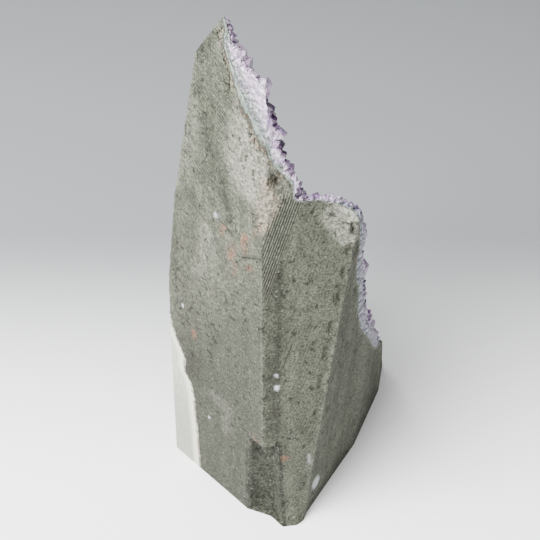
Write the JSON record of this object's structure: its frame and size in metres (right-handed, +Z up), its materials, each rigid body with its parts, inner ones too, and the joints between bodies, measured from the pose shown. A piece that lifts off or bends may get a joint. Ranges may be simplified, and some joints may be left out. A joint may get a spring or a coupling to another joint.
{
  "type": "amethyst geode",
  "caption": "Standing piece of amethyst geode, back sawn to flat grey basalt faces, with a leaning front hollow lined with purple quartz points.",
  "frame": {"origin": "on the flat foot, under the middle of the geode's bounding box", "axes": "+Z up out of the foot; the crystal-lined hollow leans back and faces -Y; the sawn back faces +Y and -X"},
  "size_m": [0.1056, 0.0982, 0.1898],
  "materials": {
    "basalt": "sawn, dull",
    "celadonite": "rough, dull",
    "amethyst": "natural crystal faces, glossy",
    "agate": "sawn, waxy"
  },
  "bodies": {
    "root": {"basalt_matrix": "basalt", "celadonite_rind": "celadonite", "amethyst_crust": "amethyst", "agate_patch": "agate"}
  },
  "joints": []
}
